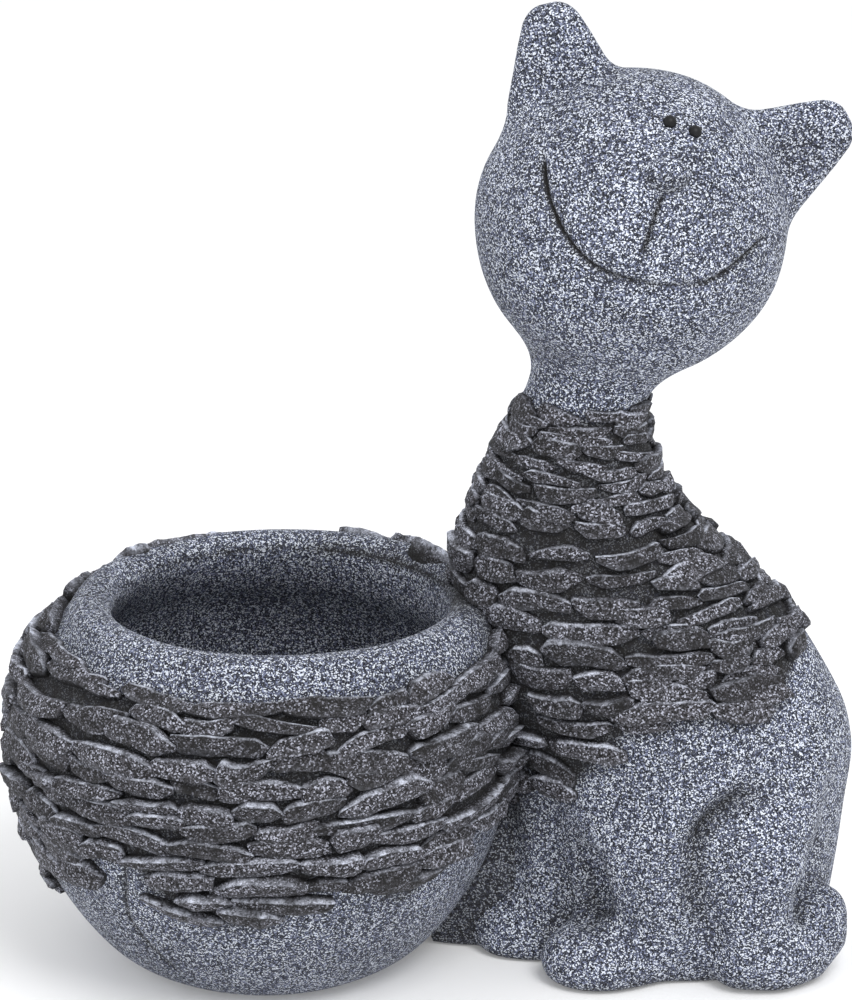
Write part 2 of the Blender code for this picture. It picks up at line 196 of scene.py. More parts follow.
def bowlRadius(z):
    # two superellipse quarters that meet at the belly
    drop = 1 - np.clip(z, 0, bowl["bellyZ"]) / bowl["bellyZ"]
    quarter = (1 - drop ** bowl["lowerRound"]) ** (1 / bowl["lowerRound"])
    below = bowl["foot"] + (bowl["belly"] - bowl["foot"]) * quarter
    rise = np.clip((z - bowl["bellyZ"]) / bowl["shoulderReach"], 0, 0.999)
    above = bowl["belly"] * (1 - rise ** bowl["upperRound"]) ** (1 / bowl["upperRound"])
    return np.where(z < bowl["bellyZ"], below, above)


bowl = {
    "foot": 49, "belly": 102.5, "bellyZ": 90, "shoulderReach": 73.5, "lowerRound": 1.65, "upperRound": 3.2,
    "mouthShift": 7, "leanStart": 125, "leanEnd": 150,
    "lipRadius": 77.5, "lipZ": 147, "lipThickness": 9.5, "shoulderEndZ": 138,
    "inside": ((72, 135), (85, 117), (91, 88), (85, 58), (70, 34), (48, 19), (24, 14.5), (7.5, 14)),
    "drain": 7, "around": 400, "outsideRows": 96, "lipRows": 16,
    # painted shade beside the cat, and painted shade inside below a height, darker towards the bottom
    "besideReach": 20, "besideMost": 0.85, "insideTop": 128, "insideFade": 60, "insideMost": 0.36,
    # a line scratched in the clay, by degrees from the front and height
    "scribe": ((-31, 78), (-33, 62), (-35, 46), (-32, 30), (-28, 20)),
    "scribeWidth": 1.5, "scribeDepth": 1.3, "scribeWash": 0.8,
}


def bowlField(points):
    distance = np.hypot(points[..., 0] - bowlMiddle(points[..., 2]), points[..., 1])
    top = bowl["lipZ"] + bowl["lipThickness"]
    return np.maximum((distance - bowlRadius(points[..., 2])) * 0.85, points[..., 2] - top)


def castingFields(points):
    found = {"head": ellipsoidField(points, head["centre"], head["radii"]),
             "torso": stackField(points, torsoStack)}
    found.update((name, earField(points, ear)) for name, ear in ears.items())
    for side in ("near", "far"):
        column = [(x, mirrored(y, side), z, r) for x, y, z, r in limbs["foreleg"]]
        x, y, z = limbs["paw"]
        paw = ellipsoidField(points, (x + limbs["pawStep"][side], mirrored(y, side), z), limbs["pawRadii"])
        found["foreleg_" + side] = blend(chainField(points, column), paw, 9)
        hind = []
        for word in ("thigh", "foot"):
            x, y, z = limbs[word]
            hind.append(ellipsoidField(points, (x, mirrored(y, side), z), limbs[word + "Radii"]))
        found["hind_leg_" + side] = blend(*hind, 9)
    found["tail"] = chainField(points, tail["drop"])
    found["base_web"] = ellipsoidField(points, web["centre"], web["radii"])
    return found


def catField(points):
    part = castingFields(points)
    z = points[..., 2]
    whole = hollowed(part["torso"], torso["top"] - z, 4)
    for name, reach in (("hind_leg_near", limbs["thighReach"]), ("hind_leg_far", limbs["thighReach"]),
                        ("foreleg_near", 5), ("foreleg_far", 5), ("base_web", 7)):
        whole = blend(whole, part[name], reach)
    rump = np.clip((z - 40) / (tail["rumpZ"] - 40), 0, 1)
    whole = blend(whole, part["tail"], tail["reachLow"] + (tail["reachHigh"] - tail["reachLow"]) * rump)
    skull = part["head"]
    for name in ears:
        skull = blend(skull, part[name], earShape["reach"])
    skull = blend(skull, ellipsoidField(points, head["nose"], head["noseRadii"]), head["noseReach"])
    whole = blend(whole, skull, head["neckReach"])
    # low waves of under half a millimetre, as a hand-finished mould leaves
    x, y = points[..., 0], points[..., 1]
    whole = whole + 0.22 * np.sin(x / 9 + 0.7) * np.sin(y / 8 + z / 17) + 0.18 * np.sin(z / 7.3 + x / 21)
    whole = hollowed(whole, stackField(points, hollowStack) + np.maximum(z - 222, 0), 2)
    whole = hollowed(whole, bowlField(points) - 0.3, 1)
    return hollowed(whole, z, 4)


# ---- Skins: a field sampled on a lattice, then wrapped and drawn on to the field's zero

def wrapField(field, low, high, step):
    # one point in each lattice cell that the skin crosses, one quad across each crossed lattice edge
    counts = np.ceil((np.array(high) - np.array(low)) / step).astype(int) + 1
    axes = [low[i] + step * np.arange(counts[i]) for i in range(3)]
    values = np.empty(counts)
    for i in range(0, counts[0], 16):
        lattice = np.stack(np.meshgrid(axes[0][i:i + 16], axes[1], axes[2], indexing="ij"), -1)
        values[i:i + 16] = field(lattice)
    inside = values < 0
    corners = np.array([(a, b, c) for a in (0, 1) for b in (0, 1) for c in (0, 1)])
    last = counts - 1
    tally = sum(1 * inside[a:a + last[0], b:b + last[1], c:c + last[2]] for a, b, c in corners)
    crossed = (tally > 0) & (tally < 8)
    cells = np.argwhere(crossed)
    number = np.full(last, -1)
    number[crossed] = np.arange(len(cells))
    total = np.zeros((len(cells), 3))
    hits = np.zeros(len(cells))
    for first in corners:
        for axis in np.flatnonzero(first == 0):
            second = first.copy()
            second[axis] = 1
            a = values[tuple((cells + first).T)]
            b = values[tuple((cells + second).T)]
            cut = (a < 0) != (b < 0)
            share = np.where(cut, a / np.where(cut, a - b, 1), 0)
            total += cut[:, None] * (first + share[:, None] * (second - first))
            hits += cut
    points = np.array(low) + step * (cells + total / hits[:, None])
    quads = []
    for axis in range(3):
        second, third = (axis + 1) % 3, (axis + 2) % 3
        near = np.moveaxis(inside, (axis, second, third), (0, 1, 2))
        grid = np.moveaxis(number, (axis, second, third), (0, 1, 2))
        change = near[:-1, 1:-1, 1:-1] != near[1:, 1:-1, 1:-1]
        i, j, k = np.nonzero(change)
        ring = np.stack((grid[i, j, k], grid[i, j + 1, k], grid[i, j + 1, k + 1], grid[i, j, k + 1]), 1)
        leaving = near[:-1, 1:-1, 1:-1][i, j, k]
        quads.append(np.where(leaving[:, None], ring, ring[:, ::-1]))
    return points, np.concatenate(quads)


def slopeOf(field, points, gap=0.4):
    # central differences along x, y and z
    parts = []
    for axis in range(3):
        shift = np.zeros(3)
        shift[axis] = gap
        parts.append((field(points + shift) - field(points - shift)) / (2 * gap))
    return np.stack(parts, -1)


def settle(field, points, rounds=2, limit=0.8):
    # Newton's step down the slope to the zero of the field
    for _ in range(rounds):
        slope = slopeOf(field, points)
        step = field(points)[:, None] * slope / ((slope ** 2).sum(1) + 1e-6)[:, None]
        points = points - step * np.minimum(1, limit / (lengthOf(step)[:, None] + 1e-9))
    return points


def splitQuads(points, quads):
    # two triangles for each quad, across its shorter diagonal
    a, b, c, d = (points[quads[:, i]] for i in range(4))
    straight = ((a - c) ** 2).sum(1) < ((b - d) ** 2).sum(1)
    first = np.where(straight[:, None], quads[:, (0, 1, 2)], quads[:, (0, 1, 3)])
    second = np.where(straight[:, None], quads[:, (0, 2, 3)], quads[:, (1, 2, 3)])
    return np.concatenate((first, second))


def sharedSides(points, sides):
    # each side once, and the number of the point to be added on it
    keys, index = np.unique(np.sort(sides, 1), axis=0, return_inverse=True)
    return keys, index.reshape(-1) + len(points)


def sidesOf(triangles):
    return np.concatenate((triangles[:, (0, 1)], triangles[:, (1, 2)], triangles[:, (2, 0)]))


def cutAway(points, triangles, level):
    # the part of a skin where level is negative, cut straight across the triangles on the line
    signs = level[triangles] < 0
    count = signs.sum(1)
    kept = [triangles[count == 3]]
    # the odd corner out comes first
    one, two = (np.take_along_axis(triangles[picked], (odd[picked][:, None] + np.arange(3)) % 3, 1)
                for picked, odd in ((count == 1, signs.argmax(1)), (count == 2, signs.argmin(1))))
    edges = np.concatenate((one[:, (0, 1)], one[:, (0, 2)], two[:, (0, 1)], two[:, (0, 2)]))
    keys, index = sharedSides(points, edges)
    share = level[keys[:, 0]] / (level[keys[:, 0]] - level[keys[:, 1]])
    added = points[keys[:, 0]] + share[:, None] * (points[keys[:, 1]] - points[keys[:, 0]])
    ab, ac, da, dc = np.split(index, np.cumsum((len(one), len(one), len(two))))
    for trio in ((one[:, 0], ab, ac), (da, two[:, 1], two[:, 2]), (da, two[:, 2], dc)):
        kept.append(np.stack(trio, 1))
    # only the points in use
    used, index = np.unique(sound(np.concatenate(kept)), return_inverse=True)
    return np.concatenate((points, added))[used], index.reshape(-1, 3)


def sound(triangles):
    # without those that have a corner twice
    a, b, c = triangles.T
    return triangles[(a != b) & (b != c) & (a != c)]


def openEdges(triangles, total):
    # sides that only one triangle has, in that triangle's order
    sides = sidesOf(triangles)
    forward = sides[:, 0].astype(np.int64) * total + sides[:, 1]
    backward = sides[:, 1].astype(np.int64) * total + sides[:, 0]
    return sides[~np.isin(forward, backward)]


def closedOff(points, triangles):
    # a fan to the middle of each open loop
    rim = openEdges(triangles, len(points))
    if not len(rim):
        return points, triangles
    label = np.arange(len(points))
    while True:
        lowest = np.minimum(label[rim[:, 0]], label[rim[:, 1]])
        before = label.copy()
        np.minimum.at(label, rim[:, 0], lowest)
        np.minimum.at(label, rim[:, 1], lowest)
        label = label[label]
        if (label == before).all():
            break
    names, index = np.unique(label[rim[:, 0]], return_inverse=True)
    index = index.reshape(-1)
    middles = np.zeros((len(names), 3))
    np.add.at(middles, index, points[rim[:, 0]])
    middles /= np.bincount(index)[:, None]
    fan = np.stack((rim[:, 1], rim[:, 0], len(points) + index), 1)
    return np.concatenate((points, middles)), np.concatenate((triangles, fan))


def halved(points, triangles):
    # each triangle into four, at the middles of its sides
    sides = sidesOf(triangles)
    keys, index = sharedSides(points, sides)
    middle = points[keys].mean(1)
    ab, bc, ca = np.split(index, 3)
    a, b, c = triangles.T
    parts = ((a, ab, ca), (ab, b, bc), (ca, bc, c), (ab, bc, ca))
    return np.concatenate((points, middle)), np.concatenate([np.stack(part, 1) for part in parts])


def addPiece(name, points, faces, finish, nodes, values=None, sharp=None):
    # a mesh object in metres at the origin, with a float attribute for each entry of values
    data = bpy.data.meshes.new(name)
    data.vertices.add(len(points))
    placed = (points + np.array((axisX, axisY, 0))) * 0.001
    data.vertices.foreach_set("co", placed.ravel())
    data.loops.add(faces.size)
    data.loops.foreach_set("vertex_index", faces.astype(np.int32).ravel())
    data.polygons.add(len(faces))
    data.polygons.foreach_set("loop_start", np.arange(0, faces.size, faces.shape[1], dtype=np.int32))
    data.update(calc_edges=True)
    data.validate()
    data.shade_smooth()
    for word, amounts in (values or {}).items():
        layer = data.attributes.new(word, "FLOAT", "POINT")
        layer.data.foreach_set("value", amounts.astype(np.float32))
    if sharp is not None:
        data.set_sharp_from_angle(angle=math.radians(sharp))
    data.materials.append(finish)
    piece = bpy.data.objects.new(name, data)
    bpy.context.scene.collection.objects.link(piece)
    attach(piece, "root")
    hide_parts(*nodes)
    return piece


# ---- Finishes

def nodeMaterial(name):
    made = bpy.data.materials.new(name)
    made.use_nodes = True
    return made, made.node_tree


def addNode(tree, kind, **settings):
    node = tree.nodes.new("ShaderNode" + kind)
    for word, value in settings.items():
        if word in node.inputs:
            node.inputs[word].default_value = value
        else:
            setattr(node, word, value)
    return node


def plug(tree, socket, value):
    # a number, a colour or another node's output
    if isinstance(value, (int, float)):
        socket.default_value = value
    elif isinstance(value, tuple):
        socket.default_value = (*value, 1)
    else:
        tree.links.new(value, socket)


def objectPlace(tree):
    return addNode(tree, "TexCoord").outputs["Object"]


def texture(tree, kind, place=None, **settings):
    node = addNode(tree, "Tex" + kind, **settings)
    plug(tree, node.inputs["Vector"], place or objectPlace(tree))
    return node.outputs


def channels(tree, colour):
    node = addNode(tree, "SeparateColor")
    plug(tree, node.inputs[0], colour)
    return node.outputs


def attribute(tree, word):
    return addNode(tree, "Attribute", attribute_name=word).outputs["Fac"]


def ramp(tree, value, stops, mode="LINEAR"):
    node = addNode(tree, "ValToRGB")
    node.color_ramp.interpolation = mode
    while len(node.color_ramp.elements) < len(stops):
        node.color_ramp.elements.new(0.5)
    for element, (place, colour) in zip(node.color_ramp.elements, stops):
        element.position = place
        element.color = (*colour, 1)
    plug(tree, node.inputs[0], value)
    return node.outputs[0]


def maths(tree, operation, *values, clamp=False):
    node = addNode(tree, "Math", operation=operation, use_clamp=clamp)
    for socket, value in zip(node.inputs, values):
        plug(tree, socket, value)
    return node.outputs[0]


def mixColour(tree, share, a, b, kind="MIX"):
    node = addNode(tree, "Mix", data_type="RGBA", blend_type=kind)
    for i, value in ((0, share), (6, a), (7, b)):
        plug(tree, node.inputs[i], value)
    return node.outputs[2]


def dress(tree, finish, colour, height=None):
    surface = tree.nodes["Principled BSDF"].inputs
    plug(tree, surface["Base Color"], colour)
    plug(tree, surface["Roughness"], finish["roughness"])
    plug(tree, surface["Specular IOR Level"], finish["specular"])
    if height is not None:
        strength, distance = finish["bump"]
        bump = addNode(tree, "Bump", Strength=strength, Distance=distance)
        plug(tree, bump.inputs["Height"], height)
        plug(tree, surface["Normal"], bump.outputs[0])


granite = {
    "grainsPerMetre": 1980, "finePerMetre": 3300, "powderShare": 0.12, "jitter": 0.0008,
    # share of the grains at which each grey starts
    "grit": ((0.0, (0.006, 0.007, 0.012)), (0.36, (0.028, 0.032, 0.054)), (0.52, (0.098, 0.110, 0.172)),
        (0.67, (0.25, 0.28, 0.41)), (0.80, (0.86, 0.91, 1.0))),
    "powder": ((0.0, (0.006, 0.007, 0.012)), (0.35, (0.098, 0.110, 0.172)), (0.82, (0.86, 0.91, 1.0))),
    "patchTones": (0.73, 1.05), "bowlTone": 0.88,
    # the dark colour of the paint wash and of the painted shade
    "washAndShade": (0.013, 0.012, 0.012), "brightFrom": 0.8, "brightSpared": 0.6,
    "roughness": 0.82, "specular": 0.35, "bump": (0.5, 0.0006),
}


def graniteFinish(name, tone=1.0):
    # cells of dark, middle and white grit, a patchy tone over them, and a dark paint wash and painted shade
    # where the casting's attribute asks for them
    made, tree = nodeMaterial(name)
    warp = texture(tree, "Noise", Scale=600.0, Detail=2.0)
    jitter = addNode(tree, "VectorMath", operation="MULTIPLY_ADD")
    jitter.inputs[1].default_value = (granite["jitter"],) * 3
    plug(tree, jitter.inputs[0], warp["Color"])
    plug(tree, jitter.inputs[2], objectPlace(tree))
    coarse = texture(tree, "Voronoi", jitter.outputs[0], Scale=granite["grainsPerMetre"])
    fine = texture(tree, "Voronoi", jitter.outputs[0], Scale=granite["finePerMetre"])
    grain = channels(tree, coarse["Color"])
    dust = channels(tree, fine["Color"])
    body = ramp(tree, grain[0], granite["grit"], "CONSTANT")
    powder = ramp(tree, dust[1], granite["powder"], "CONSTANT")
    colour = mixColour(tree, granite["powderShare"], body, powder)
    patch = texture(tree, "Noise", Scale=26.0, Detail=3.0, Roughness=0.6)
    low, high = granite["patchTones"]
    tint = ramp(tree, patch[0], ((0.3, (low * tone,) * 3), (0.7, (high * tone,) * 3)))
    colour = mixColour(tree, 1.0, colour, tint, "MULTIPLY")
    washAndShade = attribute(tree, "washAndShade")
    smear = texture(tree, "Noise", Scale=210.0, Detail=3.0)
    broken = maths(tree, "MULTIPLY_ADD", smear[0], 0.5, 0.75)
    covered = maths(tree, "MULTIPLY", washAndShade, broken, clamp=True)
    # the brightest grains show through thin wash and painted shade
    bright = maths(tree, "GREATER_THAN", grain[0], granite["brightFrom"])
    thin = maths(tree, "SUBTRACT", 1.0, washAndShade)
    showing = maths(tree, "MULTIPLY", bright, thin)
    spared = maths(tree, "MULTIPLY_ADD", showing, -granite["brightSpared"], 1.0)
    covered = maths(tree, "MULTIPLY", covered, spared, clamp=True)
    colour = mixColour(tree, covered, colour, granite["washAndShade"])
    height = maths(tree, "MULTIPLY_ADD", grain[1], 0.5, coarse["Distance"])
    dress(tree, granite, colour, height)
    return made


slate = {
    "grainsPerMetre": 1750,
    "grit": ((0.0, (0.005, 0.0047, 0.0055)), (0.26, (0.026, 0.024, 0.028)), (0.48, (0.070, 0.068, 0.078)),
        (0.68, (0.150, 0.150, 0.176)), (0.86, (0.44, 0.45, 0.53))),
    # the dark of the wash and of the painted shade at the wall, and the pale of the dry-brush and painted
    # highlight
    "darkPaintAndShade": (0.0065, 0.0057, 0.0058), "edge": (0.80, 0.84, 0.97),
    "roughness": 0.8, "specular": 0.4, "bump": (0.85, 0.002),
}


def slateFinish(name):
    # a dark wash, a gritty face whose grey changes from chip to chip, a pale edge that is partly dry-brushed
    # paint and partly painted highlight on the upward ledges, and painted shade towards the wall
    made, tree = nodeMaterial(name)
    grains = texture(tree, "Voronoi", Scale=slate["grainsPerMetre"])
    grain = channels(tree, grains["Color"])
    grit = ramp(tree, grain[0], slate["grit"], "CONSTANT")
    # cloudiness plus the chip's own shade decides how much of the face is rubbed clear of the wash
    clouds = texture(tree, "Noise", Scale=140.0, Detail=5.0, Roughness=0.65)
    own = maths(tree, "MULTIPLY_ADD", attribute(tree, "shade"), 0.75, -0.92)
    level = maths(tree, "MULTIPLY_ADD", clouds[0], 2.6, own, clamp=True)
    face = mixColour(tree, level, slate["darkPaintAndShade"], grit)
    # the brush misses in places and catches the grit unevenly
    rubbed = texture(tree, "Noise", Scale=330.0, Detail=4.0, Roughness=0.7)
    reached = maths(tree, "MULTIPLY_ADD", rubbed[0], 4.0, -1.35, clamp=True)
    # the edge: dry-brushed paint and painted highlight on the upward ledges
    edge = maths(tree, "POWER", attribute(tree, "edge"), 1.3)
    brushed = maths(tree, "MULTIPLY", edge, reached, clamp=True)
    caught = maths(tree, "MULTIPLY_ADD", grain[1], 0.9, 0.45, clamp=True)
    brushed = maths(tree, "MULTIPLY", brushed, caught, clamp=True)
    colour = mixColour(tree, brushed, face, slate["edge"])
    # painted shade where the chip meets the wall and along its lower edge
    colour = mixColour(tree, attribute(tree, "depth"), slate["darkPaintAndShade"], colour)
    tears = texture(tree, "Noise", Scale=240.0, Detail=6.0, Roughness=0.62)
    height = maths(tree, "MULTIPLY_ADD", grain[2], 0.22, tears[0])
    dress(tree, slate, colour, height)
    return made


bead = {
    "tones": ((0.3, (0.002, 0.002, 0.0025)), (0.75, (0.006, 0.006, 0.007))),
    "roughness": 0.5, "specular": 0.3,
}


def beadFinish(name):
    # near-black glaze with a faint mottle
    made, tree = nodeMaterial(name)
    mottle = texture(tree, "Noise", Scale=700.0, Detail=2.0)
    dress(tree, bead, ramp(tree, mottle[0], bead["tones"]))
    return made


graniteMade = graniteFinish("granite_grit")
bowlGraniteMade = graniteFinish("granite_grit_bowl", granite["bowlTone"])
slateMade = slateFinish("slate_chips")
beadMade = beadFinish("black_bead")
print("finishes made")


# ---- Slate edges of the two dressed areas

hem = {
    # around the bowl: degrees from the front towards the cat, lowest height of a chip
    "bowl": ((-180, 50), (-120, 42), (-95, 28), (-76, 33), (-66, 43), (-57, 52), (-47, 60), (-38, 73),
        (-31, 75), (-25, 60), (-18, 50), (-10, 47), (4, 48), (9, 63), (17, 70), (26, 69), (31, 54),
        (38, 52), (52, 70), (70, 78), (110, 70), (140, 52), (180, 50)),
    # the same, highest height of a chip
    "bowlTop": ((-180, 153), (-150, 154), (-125, 152), (-100, 147), (-75, 145), (-60, 141), (-35, 143),
        (0, 144), (35, 141), (52, 141), (75, 145), (110, 155), (135, 156), (165, 156), (180, 152)),
    # on the cat: distance from the bowl's axis, lowest height of a chip
    "cat": ((70, 66), (110, 68), (122, 76), (134, 92), (146, 106),
        (168, 113), (200, 112), (208, 114), (215, 128), (219, 146), (245, 154)),
    "catTop": 237,
    # how far the dark wash fades at the lower and the upper hem, its share on the hem, its most
    "lowFade": 10, "lowShare": 0.35, "highFade": 6, "highShare": 0.1, "most": 0.93,
}


def turnOnBowl(points):
    # degrees round the bowl, from the front towards the cat
    return np.degrees(np.arctan2(points[..., 0] - bowlMiddle(points[..., 2]), -points[..., 1]))


def onBowl(points):
    # how far above the bowl's lower hem a point is, and how far below its upper hem
    degrees = turnOnBowl(points)
    places, heights = np.array(hem["bowl"], float).T
    topPlaces, topHeights = np.array(hem["bowlTop"], float).T
    low = points[..., 2] - np.interp(degrees, places, heights)
    return low, np.interp(degrees, topPlaces, topHeights) - points[..., 2]


def onCat(points):
    places, heights = np.array(hem["cat"], float).T
    return points[..., 2] - np.interp(points[..., 0], places, heights), hem["catTop"] - points[..., 2]


def slateWash(gaps):
    low, high = gaps
    risen = np.clip(low / hem["lowFade"] + hem["lowShare"], 0, 1)
    return risen * np.clip(high / hem["highFade"] + hem["highShare"], 0, 1) * hem["most"]


# ---- Cat castings

lattice = {"low": (68, -64, -5), "high": (250, 76, 402), "step": 1.7}
grooves = {
    "smile": ((110.4, -27.5, 344), (111, -33.9, 335.6), (113.6, -39.6, 326.4), (120.9, -45.6, 313.6),
        (132.4, -49.2, 303.9), (149.7, -50.2, 298.6), (164, -47.9, 297.2), (177.4, -43.2, 298.3),
        (193.4, -32.9, 307.6), (198.8, -26.7, 311.6)),
    "lip": ((157.7, -44.9, 335.5), (153.1, -49.3, 323.2), (148.7, -51, 309.9)),
    # how strongly each line is pressed, by the share of its length
    "press": {"smile": ((0, 0.4), (0.06, 1), (0.45, 0.85), (0.6, 0.5), (0.72, 0.55), (0.8, 0.9),
        (0.93, 0.85), (1, 0.2)),
              "lip": ((0, 0.4), (0.1, 1), (0.9, 1), (1, 0.3))},
    "width": {"smile": 1.25, "lip": 1.2}, "depth": 2.2, "washAndShade": 0.97,
    # the smile's softer dip, with painted shade in it
    "softWidth": 4.2, "softDepth": 1.1, "softShade": 0.2,
}
valleys = (
    # soft hollows along the skin, each with painted shade in it: round the tail, its sharp start, behind the
    # foreleg, in the curl
    {"route": ((204, -42, 86), (192, -45.5, 83), (182, -49.7, 78), (176.5, -52, 72), (174, -53.5, 64),
        (174, -54, 52), (175, -54.5, 40), (178, -55, 28), (183, -54, 16)),
     "width": 6, "depth": 5.5, "washAndShade": 0.45},
    {"route": ((197, -44, 85), (190, -46.5, 82.5), (182, -49.7, 78), (177, -52, 73), (174.5, -53, 66)),
     "width": 2.3, "depth": 3.2, "washAndShade": 0.9},
    {"route": ((131, -30, 56), (132, -35, 47), (133, -36, 38), (133.5, -36, 29)),
     "width": 8, "depth": 12, "washAndShade": 1.0},
    {"route": ((219, -44, 38), (224, -42, 36)), "width": 8.5, "depth": 7, "washAndShade": 0.55},
)
shading = {
    # painted shade in creases, by how much of the space around is taken up
    "creaseFrom": 0.14, "creaseGain": 0.85, "creaseMost": 0.7,
    # painted shade beside the bowl, fading over a distance, and on the web behind the legs
    "besideReach": 18, "besideMost": 0.8, "web": 0.7,
    # painted shade under the nose: its gap from the nose, its reach and its most
    "noseGap": 0.8, "noseReach": 1.3, "noseMost": 0.5,
    # the shadow in an ear's dish: how far up the ear, its radius and its most
    "dishUp": 21, "dishReach": 11, "dishMost": 0.32,
}


def curveThrough(stops, steps=10):
    # Catmull and Rom's curve through the stops
    ends = np.array((stops[0], *stops, stops[-1]), float)
    share = (np.arange(steps) / steps)[:, None]
    spans = []
    for a, b, c, d in zip(ends, ends[1:], ends[2:], ends[3:]):
        spans.append(0.5 * (2 * b + (c - a) * share + (2 * a - 5 * b + 4 * c - d) * share ** 2
                            + (3 * b - a - 3 * c + d) * share ** 3))
    return np.concatenate(spans + [ends[-1:]])


def gapToCurve(points, curve):
    nearest = np.full(len(points), 1e9)
    place = np.zeros(len(points))
    for i, (a, b) in enumerate(zip(curve, curve[1:])):
        gap, share = gapToBar(points, a, b)
        place = np.where(gap < nearest, (i + share) / (len(curve) - 1), place)
        nearest = np.minimum(nearest, gap)
    return nearest, place


def surroundings(points):
    return np.minimum(np.minimum(catField(points), bowlField(points)), points[..., 2] + 1)


def creaseAt(points, outward):
    # how much of the space a few millimetres off the skin is taken up
    taken = 0
    for reach, weight in ((3, 0.4), (7, 0.35), (13, 0.25)):
        free = surroundings(points + outward * reach)
        taken = taken + weight * np.clip(1 - free / reach, 0, 1)
    return taken


def bell(gap, reach):
    return np.exp(-(gap / reach) ** 2)


def outwardAt(points):
    slope = slopeOf(catField, points)
    return slope / (lengthOf(slope)[:, None] + 1e-9)


skin, quads = wrapField(catField, lattice["low"], lattice["high"], lattice["step"])
skin = settle(catField, skin)
paintedValleyShade = np.zeros(len(skin))
hollow = np.zeros(len(skin))
# each valley deepens the skin and paints shade along it
for valley in valleys:
    gap, share = gapToCurve(skin, curveThrough(valley["route"], 4))
    fade = bell(gap, valley["width"]) * np.clip(np.minimum(share, 1 - share) * 6 + 0.3, 0, 1)
    hollow += valley["depth"] * fade
    paintedValleyShade = np.maximum(paintedValleyShade, valley["washAndShade"] * fade)
hollow *= skin[:, 1] < 0
skin = np.column_stack((skin - outwardAt(skin) * hollow[:, None], paintedValleyShade))
triangles = splitQuads(skin[:, :3], quads)
print("cat skin", len(skin), "points")


def owners(points):
    # each casting's field, with the torso owning everything well inside itself
    part = castingFields(points)
    part["torso"] = np.where(part["torso"] < -5, -200, part["torso"])
    return part


def pressed(points, outward, word):
    # a drawn line pressed into the skin and darkened along it, with painted shade in the smile's softer dip
    # beside it
    gap, share = gapToCurve(points, curveThrough(grooves[word]))
    places, presses = np.array(grooves["press"][word], float).T
    press = np.interp(share, places, presses)
    line = bell(gap, grooves["width"][word]) * press
    soft = bell(gap, grooves["softWidth"]) * press * (word == "smile")
    points = points - outward * (grooves["depth"] * line + grooves["softDepth"] * soft)[:, None]
    return points, line * grooves["washAndShade"] + soft * grooves["softShade"]


def noseShadow(points, outward):
    # painted shade under the nose
    gap = ellipsoidField(points, head["nose"], head["noseRadii"]) - shading["noseGap"]
    below = (points[:, 2] < head["nose"][2] + 1) * (outward[:, 1] < -0.3)
    return shading["noseMost"] * bell(gap, shading["noseReach"]) * below


def dishShadow(points, ear):
    # painted shade in the ear's dish
    x, y, z = ear["root"]
    turn = math.radians(ear["lean"])
    across = points[:, 0] - x - shading["dishUp"] * math.sin(turn)
    gap = np.hypot(across, points[:, 2] - z - shading["dishUp"] * math.cos(turn))
    return shading["dishMost"] * bell(gap, shading["dishReach"]) * (points[:, 1] < y - 3)


def skinShade(points, outward):
    # painted shade in creases and beside the bowl
    crease = (creaseAt(points, outward) - shading["creaseFrom"]) * shading["creaseGain"]
    besideShade = np.clip(1 - bowlField(points) / shading["besideReach"], 0, 1) * shading["besideMost"]
    return np.maximum(np.clip(crease, 0, shading["creaseMost"]), besideShade)


owned = owners(skin[:, :3])
for casting in owned:
    others = np.min([owned[other] for other in owned if other != casting], axis=0)
    points, faces = cutAway(skin, triangles, owned[casting] - others)
    fine = casting == "head" or casting in ears
    if fine:
        points, faces = halved(points, faces)
    points, valleyShade = points[:, :3], points[:, 3]
    if fine:
        held = np.ones(len(points), bool)
        held[np.unique(openEdges(faces, len(points)))] = False
        points[held] = settle(catField, points[held], 1)
    outward = outwardAt(points)
    washesAndShades = [valleyShade, skinShade(points, outward)]
    if casting == "head":
        for word in ("smile", "lip"):
            points, line = pressed(points, outward, word)
            washesAndShades.append(line)
        washesAndShades.append(noseShadow(points, outward))
    if casting in ears:
        washesAndShades.append(dishShadow(points, ears[casting]))
    if casting == "torso":
        washesAndShades.append(slateWash(onCat(points)))
    # painted shade over the whole web, which lies between the legs and the bowl
    if casting == "base_web":
        washesAndShades.append(np.full(len(points), shading["web"]))
    # the darkest of the paint washes and painted shades
    washAndShade = np.max(washesAndShades, axis=0)
    points, faces = closedOff(points, faces)
    washAndShade = np.concatenate((washAndShade, np.zeros(len(points) - len(washAndShade))))
    addPiece(casting + "_casting", points, faces, graniteMade, [casting], {"washAndShade": washAndShade}, sharp=50)
    print(casting, len(faces), "triangles, open", len(openEdges(faces, len(points))))


# ---- Planter bowl: a profile spun round its axis

def bowlProfile():
    # up the outside, over the lip, down the inside and through the drain hole
    heights = np.linspace(0, bowl["shoulderEndZ"], bowl["outsideRows"])
    outside = [(float(bowlRadius(np.array(z))), z) for z in heights]
    turns = np.linspace(0, math.pi, bowl["lipRows"])
    radius, z, thick = bowl["lipRadius"], bowl["lipZ"], bowl["lipThickness"]
    lip = [(radius + thick * math.cos(turn), z + thick * math.sin(turn)) for turn in turns]
    inner = [(r, z) for r, z, _ in curveThrough([(r, z, 0) for r, z in bowl["inside"]], 6)]
    rounded = np.array(outside + lip + inner)
    start = bowl["outsideRows"] - 10
    for _ in range(3):
        rounded[start:-3] = (rounded[start - 1:-4] + 2 * rounded[start:-3] + rounded[start + 1:-2]) / 4
    drain = [(bowl["drain"], bowl["inside"][-1][1]), (bowl["drain"], 0)]
    return np.concatenate((rounded, drain))


